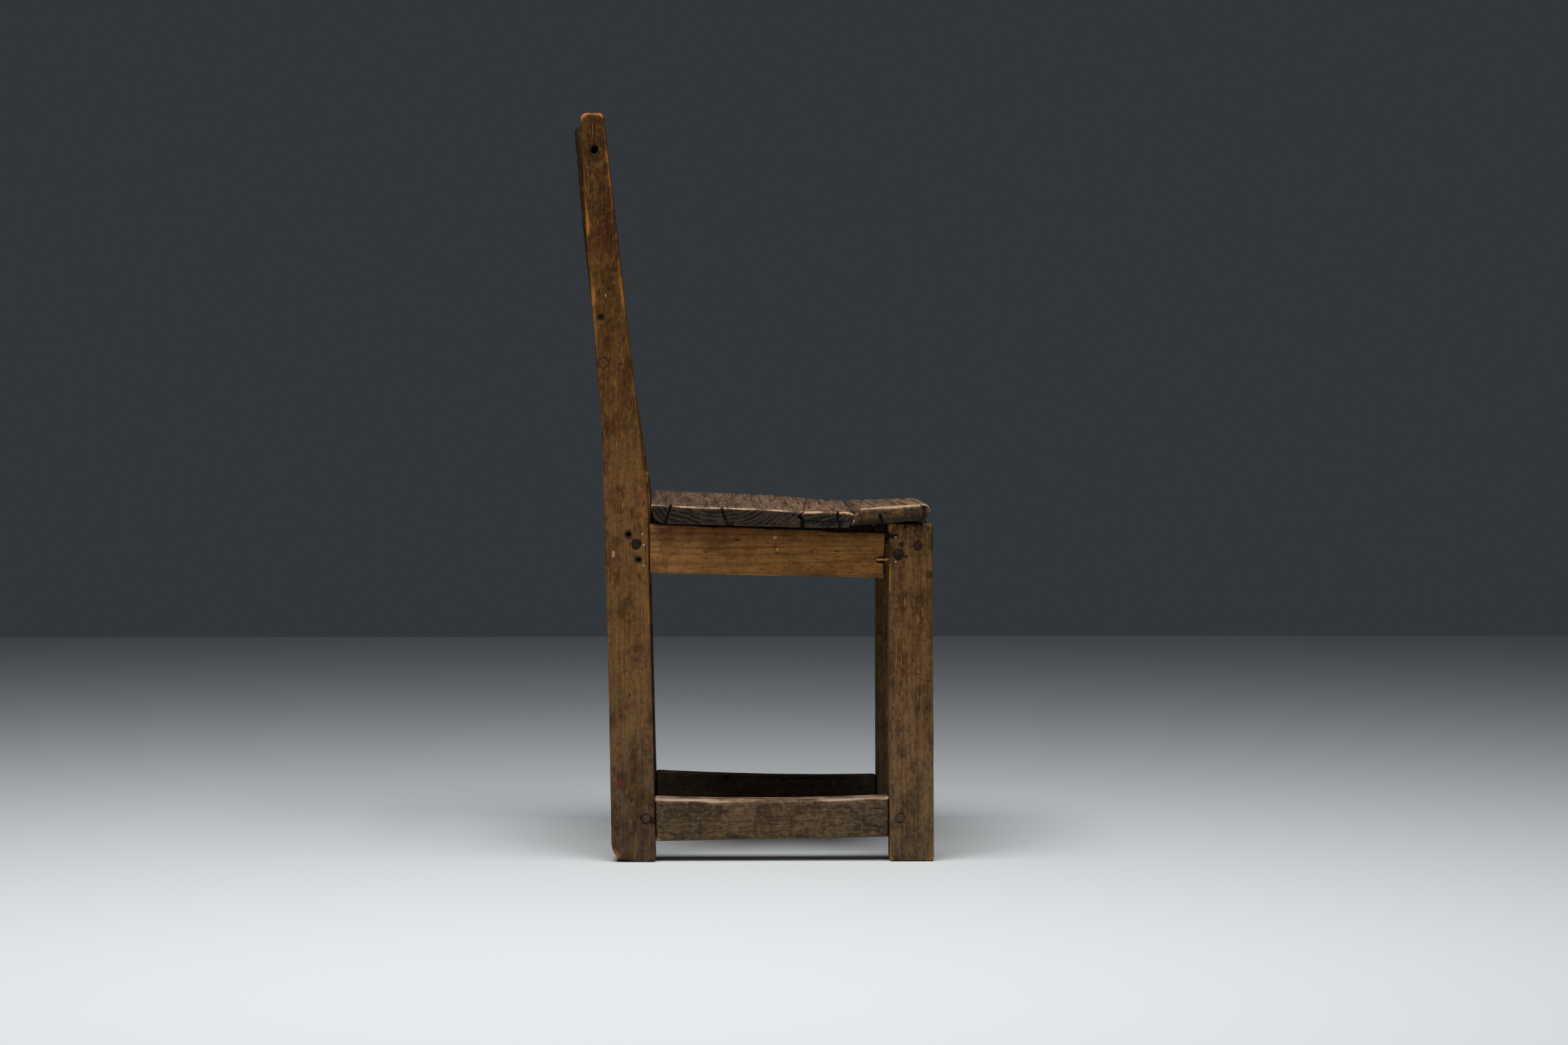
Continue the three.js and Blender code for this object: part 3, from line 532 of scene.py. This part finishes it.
def age(node, grain, voxel, material, seed, wave=0.35, nick=1.2, tear=0.0, edge=5.5, worn=1.0,
        top_worn_and_lit=0.0, grip=9.0, foot_dirt=0.0, inward_darkening=0.0, shade=0.0, marks=(), rubs=(), stains=(),
        cracks=(), seat=False, lip=2.4, lower_darkening=(10, 14, 0.35)):
    """Turns a frame node into worn timber: planed waves, dents, nicked arrises, and its maps.
    marks are dark spots, rubs golden ones and stains red ones, (x, z, radius, strength) in millimetres on
    the right face. Above the height grip, in metres, the arrises are rubbed all along, by hands.
    A seat board's end is pale down to lip below its top, partly rubbed and partly a painted highlight of its
    lit rounded arris; it darkens towards its bottom from the depth lower_darkening[0], fully after another
    lower_darkening[1], with the strength lower_darkening[2]."""
    blades = [crack_blade(crack, seed + 60 + k) for k, crack in enumerate(cracks)]
    piece = dense_copy(node, voxel, blades)
    points, normals, edges = read_mesh(piece.data)
    count = len(points)

    # Arrises and hollows, from how far each point stands out from its neighbours.
    middle = np.stack([neighbours_mean(points[:, k], edges, count) for k in (X, Y, Z)], axis=1)
    stand = soften(np.einsum("ij,ij->i", points - middle, normals) / (voxel * MM), edges, 3)
    arris = np.clip(stand * edge, 0, 1)
    hollow = np.clip(-stand * edge, 0, 1)
    reach = SEAT_ARRIS_REACH if seat else ARRIS_REACH
    wide = np.clip(soften(arris, edges, round(reach / voxel)) * 1.5, 0, 1)

    # The shape: plane waves, raised fibres, dents, and bites and tears out of the arrises.
    move = wave * MM * unevenness(points, stretched_cell(90.0, 260.0, grain), seed, 2)
    move += FIBRE_DEPTH * MM * unevenness(points, stretched_cell(5.0, 80.0, grain), seed + 11, 2)
    move -= DENT_DEPTH * MM * np.clip(unevenness(points, (20, 20, 20), seed + 23, 2) - 0.55, 0, 1)
    bites = np.clip(unevenness(points, stretched_cell(15.0, 26.0, grain), seed + 31, 3) - 0.25, 0, 1)
    move -= nick * MM * bites * wide
    if tear:
        move -= tear * MM * np.clip(unevenness(points, (6, 6, 6), seed + 41, 3), 0, 1) * wide
    points = settle(piece, points + normals * move[:, None], material, node)

    # Arrises are rubbed in patches, and dirt gathers in hollows and bites.
    at = points / MM
    patch = np.clip(1.5 * unevenness(points, stretched_cell(50.0, 80.0, grain), seed + 51, 2) + 0.3, 0, 1)
    patch = np.maximum(patch, np.clip((points[:, Z] - grip) / 0.1, 0, 1))
    wear_and_highlight = (0.75 * wide + 0.45 * arris) * (np.ones(count) if seat else worn * patch)
    dirt_and_shade = 0.7 * hollow + 0.55 * np.clip(bites * wide * 2, 0, 1)
    red = np.zeros(count)

    # Spots on the right face, and dirt along the cracks.
    right = at[:, Y] < RIGHT_SIDE
    for x, z, radius, strength in marks:
        near = fade(np.hypot(at[:, X] - x, at[:, Z] - z), radius, MARK_CORE) * right
        dirt_and_shade += strength * near
        wear_and_highlight *= 1 - np.clip(near * 1.6, 0, 1)
    for x, z, radius, strength in rubs:
        wear_and_highlight += strength * fade(np.hypot(at[:, X] - x, at[:, Z] - z), radius, RUB_CORE) * right
    for x, z, radius, strength in stains:
        red += strength * fade(np.hypot(at[:, X] - x, at[:, Z] - z), radius, RUB_CORE) * right
    for a, b, width, depth, face, flat in cracks:
        plane = at[:, (X, Y)] if flat else at[:, (X, Z)]
        start, span = np.array(a), np.array(b) - np.array(a)
        share = np.clip((plane - start) @ span / (span @ span), 0, 1)
        away = np.linalg.norm(plane - start - share[:, None] * span, axis=1)
        near = fade(away, TOP_CRACK_DIRT if flat else END_CRACK_DIRT, MARK_CORE)
        near *= np.abs(at[:, Z if flat else Y] - face) < depth
        dirt_and_shade += (0.9 if flat else 0.8) * near
        wear_and_highlight *= 1 - near * 0.8

    below = below_top(at)
    if seat:
        # Only the upper edges are sat on and rubbed; the lower ones stay dark.
        wear_and_highlight *= fade(below, SEAT_RUB_DEPTH, 1.4)
        broken = np.clip(0.7 + 0.75 * unevenness(points, (16, 16, 16), seed + 57, 2), 0, 1)
        # Ends facing -y get a pale band under the top: partly rubbed wood, partly a painted highlight of the
        # lit rounded arris.
        rubbed_and_lit_band = 0.85 * fade(below, lip, 1.3) * np.clip(-normals[:, Y] * 1.5, 0, 1)
        wear_and_highlight = (wear_and_highlight + rubbed_and_lit_band) * (0.35 + 0.65 * broken) * worn
        # The end darkens towards its bottom.
        dark_from, dark_over, dark_strength = lower_darkening
        dirt_and_shade += dark_strength * np.clip((below - dark_from) / dark_over, 0, 1)
    # Painted shadow: the top of a rail or leg just under the seat is darkened over shade millimetres.
    if shade:
        dirt_and_shade += 0.8 * fade(below, shade, 1)
    # Faces turned up are golden: partly rubbed, partly a painted highlight where light falls from above.
    if top_worn_and_lit:
        wear_and_highlight += top_worn_and_lit * np.clip(normals[:, Z] * 1.6, 0, 1)
    if foot_dirt:
        dirt_and_shade += 0.30 * fade(at[:, Z], foot_dirt, 1) ** 1.5
    # Faces turned toward the chair's middle are darkened.
    if inward_darkening:
        toward_middle = normals[:, Y] * -np.sign(points[:, Y])
        dirt_and_shade += inward_darkening * np.clip(toward_middle * 1.6, 0, 1)

    # End grain: both ends of a board or rail, only the feet of a post or leg.
    facing = -normals[:, Z] if grain == Z else np.abs(normals[:, grain])
    cross = np.clip((facing - 0.6) / 0.25, 0, 1)
    if seat:
        cross *= np.clip(below / lip - 0.4, 0.15, 1)
    for name, values in (("wear_and_highlight", wear_and_highlight), ("dirt_and_shade", dirt_and_shade), ("cross", cross), ("red", red)):
        layer = piece.data.attributes.new(name, "FLOAT", "POINT")
        layer.data.foreach_set("value", np.clip(values, 0, 1).astype(np.float32))
    return piece


def peg_marks(*nodes):
    """Dark rings where dirt has gathered round pegs."""
    found = []
    for node in nodes:
        low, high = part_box(node)
        x, z = ((low[axis] + high[axis]) / 2 / MM for axis in (X, Z))
        found.append((x, z, (high[X] - low[X]) / 2 / MM + 1.0, 0.4))
    return found


# Frame timbers, with the holes, knocks, rubs and stains of the right side, and painted shadow along the tops
# of the parts under the seat.
post_marks = peg_marks("right_rail_peg_rear", "right_stretcher_peg_rear", "right_middle_rail_dowel")
post_marks += [(-193.3, 876.0, 6.5, 0.7), (-150.6, 405.5, 5.5, 0.8), (-138.2, 374.5, 5, 0.8),
               (-184.3, 673.5, 4.5, 0.8), (-160.0, 615.8, 2.5, 0.7), (-137.5, 355.0, 4, 0.5)]
post_rubs = [(-169.5, 12.0, 7, 0.6), (-164.0, 5.0, 7, 0.55), (-193.0, 700.0, 12, 0.35),
             (-196.0, 790.0, 14, 0.35), (-154.6, 537.6, 12, 0.3)]
post_stains = [(-161.0, 98.0, 9, 0.8), (-170.0, 230.0, 10, 0.6), (-172.0, 215.0, 8, 0.5),
               (-140.0, 250.0, 12, 0.4)]
leg_marks = peg_marks("right_rail_peg_front", "right_stretcher_peg_front")
leg_marks += [(186.4, 393.0, 3.5, 0.8), (221.0, 355.5, 5.5, 0.55), (192.5, 378.0, 2.2, 0.8),
              (191.4, 414.3, 2, 0.7), (172.0, 404.5, 2.4, 0.8), (176.0, 402.8, 2.4, 0.8),
              (180.5, 405.0, 2.2, 0.8)]
leg_rubs = [(176.0, 411.0, 6, 0.5), (181.0, 398.0, 5, 0.25)]
rail_marks = [(161.0, 374.0, 5, 0.8), (154.3, 358.5, 3, 0.3)]
stretcher_marks = [(-15.0, 81.5, 3.4, 0.9), (-11.0, 84.0, 3.0, 0.8), (18.0, 60.0, 2.2, 0.6)]

right_post = age("right_back_post", Z, 2.0, post_wood, 3, marks=post_marks, rubs=post_rubs,
                 stains=post_stains, foot_dirt=120, top_worn_and_lit=0.15, grip=0.5)
age("left_back_post", Z, 2.5, post_wood, 5, foot_dirt=120, inward_darkening=0.45, top_worn_and_lit=0.1,
    worn=0.45)
right_leg = age("right_front_leg", Z, 2.0, leg_wood, 7, marks=leg_marks, rubs=leg_rubs,
                foot_dirt=110, worn=1.15)
age("left_front_leg", Z, 2.3, leg_wood, 9, foot_dirt=110, inward_darkening=0.3, shade=30)
right_rail = age("right_seat_rail", X, 2.0, rail_wood, 13, marks=rail_marks, wave=0.25,
                 nick=1.0, shade=5)
age("left_seat_rail", X, 2.8, rail_wood, 15, wave=0.3, nick=1.0, inward_darkening=0.7, shade=25)
age("right_stretcher", X, 1.8, stretcher_wood, 17, marks=stretcher_marks, wave=0.7, nick=1.6,
    inward_darkening=0.3, top_worn_and_lit=0.55)
age("left_stretcher", X, 2.3, stretcher_wood, 19, wave=0.4, inward_darkening=0.6)
age("front_seat_rail", Y, 2.8, cross_wood, 21, wave=0.4, shade=25)
age("back_seat_rail", Y, 2.8, cross_wood, 25, wave=0.4, shade=25)
age("lower_back_rail", Y, 2.3, cross_wood, 27, wave=0.4)
age("middle_back_rail", Y, 2.3, cross_wood, 29, wave=0.5)
age("crest_rail", Y, 2.3, cross_wood, 33, wave=0.5)

# Cracks in the seat's right end, along the rings and the old checks, and on its top.
# The real ones are about 1 mm wide; they are cut nearly 2 mm wide so that they show.
SEAT_END = -212.0
SEAT_TOP = 447.0
rear_cracks = [((-98.0, 441.5), (-105.5, 420.5), 1.7, 34, SEAT_END, False),
               ((-35.5, 437.5), (-28.5, 418.0), 1.9, 40, SEAT_END, False),
               ((-26.5, 414.0), (-22.5, 420.5), 6.5, 9, SEAT_END, False)]
middle_cracks = [((107.5, 438.0), (107.7, 422.0), 2.0, 30, SEAT_END, False),
                 ((68.5, 422.5), (82.4, 421.7), 1.8, 26, SEAT_END, False),
                 ((81.5, 422.0), (89.0, 420.2), 1.9, 26, SEAT_END, False),
                 ((88.2, 420.2), (98.6, 421.5), 1.8, 26, SEAT_END, False),
                 ((98.0, 421.5), (115.0, 421.3), 1.8, 26, SEAT_END, False),
                 ((109.5, 421.8), (109.8, 411.0), 1.8, 30, SEAT_END, False)]
front_cracks = [((159.5, 429.5), (164.0, 416.5), 1.9, 24, SEAT_END, False),
                ((197.0, 16.0), (205.0, 52.0), 2.2, 9, SEAT_TOP, True),
                ((203.5, 60.0), (200.5, 96.0), 1.9, 9, SEAT_TOP, True)]
seat_joint_marks = [(60.5, 428.0, 3.6, 0.9), (64.0, 421.0, 3.0, 0.9)]
age("seat_board_rear", Y, 1.5, rear_board_wood, 35, wave=0.4, tear=0.5, edge=4.5, worn=0.75,
    cracks=rear_cracks, marks=seat_joint_marks, seat=True)
age("seat_board_middle", Y, 1.2, middle_board_wood, 37, nick=1.0, tear=0.6, edge=4.5, lip=3.4,
    cracks=middle_cracks, marks=seat_joint_marks, seat=True)
age("seat_board_front", Y, 1.3, front_board_wood, 39, wave=0.4, tear=0.6, edge=4.5, lip=4.2,
    worn=1.15, lower_darkening=(9, 6, 0.62), cracks=front_cracks, seat=True)


def small_part(node, voxel, material, seed, rough, swell=0.0):
    """Pegs and nails: a dense copy with an uneven, handmade surface, swollen to fill its hole."""
    piece = dense_copy(node, voxel)
    points, normals, _ = read_mesh(piece.data)
    move = rough * MM * unevenness(points, (4, 4, 4), seed, 2) + swell * MM * (1 - np.abs(normals[:, Y]))
    settle(piece, points + normals * move[:, None], material, node)


PEG_VOXEL = 0.9
NAIL_VOXEL = 0.6
for seed, node in enumerate(sorted(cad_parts), 51):
    if "rail_peg" in node:
        small_part(node, PEG_VOXEL, rail_peg_wood, seed, 0.3, 0.35)
    elif "stretcher_peg" in node:
        small_part(node, PEG_VOXEL, stretcher_peg_wood, seed, 0.3, 0.3)
    elif "dowel" in node:
        wood = back_dowel_wood if "middle" in node or "crest" in node else dowel_wood
        small_part(node, PEG_VOXEL, wood, seed, 0.15, 0.35)
    elif "nail" in node:
        small_part(node, NAIL_VOXEL, toe_nail_iron if "toe" in node else nail_iron, seed, 0.22)


def face_height(piece, x, z):
    """The y, in millimetres, of the worn right face at a place on it."""
    points = read_mesh(piece.data)[0] / MM
    points = points[points[:, Y] < RIGHT_SIDE]
    inward = points[:, Y] - cad_low[Y] / MM
    return points[np.argmin(np.hypot(points[:, X] - x, points[:, Z] - z) + 0.3 * inward), Y]


def bit_on_face(name, host, x, z, width, height, thick, material, seed):
    """A small domed bit on the right face, its outline made ragged by noise."""
    shape = bmesh.new()
    bmesh.ops.create_uvsphere(shape, u_segments=16, v_segments=10, radius=1.0)
    points = np.array([vert.co for vert in shape.verts])
    swell = 1 + 0.28 * unevenness(points * MM, (0.8, 0.8, 0.8), seed, 2)
    middle = face_height(host, x, z) + 0.15
    for vert, grow in zip(shape.verts, swell):
        vert.co = ((x + vert.co.x * grow * width / 2) * MM, (middle + vert.co.y * thick) * MM,
                   (z + vert.co.z * grow * height / 2) * MM)
    piece = link_mesh(shape, name)
    settle(piece, read_mesh(piece.data)[0], material)


# Brad heads beside the joints, flecks of paint, and the torn wood inside the seat's broken corner, near black
# as painted shade.
BRAD_THICK = 0.7
FLECK_THICK = 0.3
brads = [(right_post, -133.4, 405.9, 2.8), (right_post, -131.8, 392.2, 2.8), (right_post, -132.0, 366.9, 2.6),
         (right_leg, 179.9, 402.0, 3.2), (right_leg, 179.5, 371.3, 2.4), (right_leg, 207.6, 235.2, 2.4)]
flecks = [(right_rail, 30.2, 402.0, 5.5, 4.6), (right_rail, 33.4, 387.2, 3.0, 4.2),
          (right_post, -169.0, 381.0, 4.8, 8.6), (right_post, -178.0, 700.0, 2.2, 3.4)]
for k, (host, x, z, size) in enumerate(brads):
    bit_on_face(f"joint_brad_{k + 1}", host, x, z, size, size, BRAD_THICK, brad_metal, 90 + k)
for k, (host, x, z, width, height) in enumerate(flecks):
    bit_on_face(f"paint_fleck_{k + 1}", host, x, z, width, height, FLECK_THICK, cream_paint,
                120 + k)
# The torn wood is drawn near black, painted shade inside the broken corner.
bit_on_face("front_board_torn_nose", right_leg, 208.5, 423.9, 12.0, 9.0, 9.0, torn_wood_in_shade, 140)


# Studio: pale floor, one large soft light from high on the camera's side, dim slate surroundings.
FLOOR_HALF = 4.1


def pale_floor():
    """A plain matt floor."""
    material, _, shader = start_material("pale_floor")
    shader.inputs["Base Color"].default_value = linear("#d8dcdf")
    shader.inputs["Roughness"].default_value = 0.7
    shape = bmesh.new()
    bmesh.ops.create_grid(shape, x_segments=1, y_segments=1, size=FLOOR_HALF)
    floor = link_mesh(shape, "floor")
    floor.data.materials.append(material)


def soft_light(name, place, target, size, power, colour, spread):
    """A rectangular lamp that faces a target; the spread is in degrees."""
    data = bpy.data.lights.new(name, "AREA")
    data.shape = "RECTANGLE"
    data.size, data.size_y = size
    data.energy = power
    data.color = linear(colour)[:3]
    data.spread = math.radians(spread)
    lamp = bpy.data.objects.new(name, data)
    lamp.location = place
    lamp.rotation_euler = (Vector(target) - Vector(place)).to_track_quat("-Z", "Y").to_euler()
    bpy.context.scene.collection.objects.link(lamp)


pale_floor()
soft_light("key", (-0.2, -1.3, 3.1), (-0.2, -1.1, 0.0), (2.6, 2.0), 80, "#fdfcfa", 135)
world = bpy.data.worlds.new("studio")
world.use_nodes = True
backdrop = world.node_tree.nodes["Background"]
backdrop.inputs["Color"].default_value = linear("#31363a")
backdrop.inputs["Strength"].default_value = 1.0
bpy.context.scene.world = world
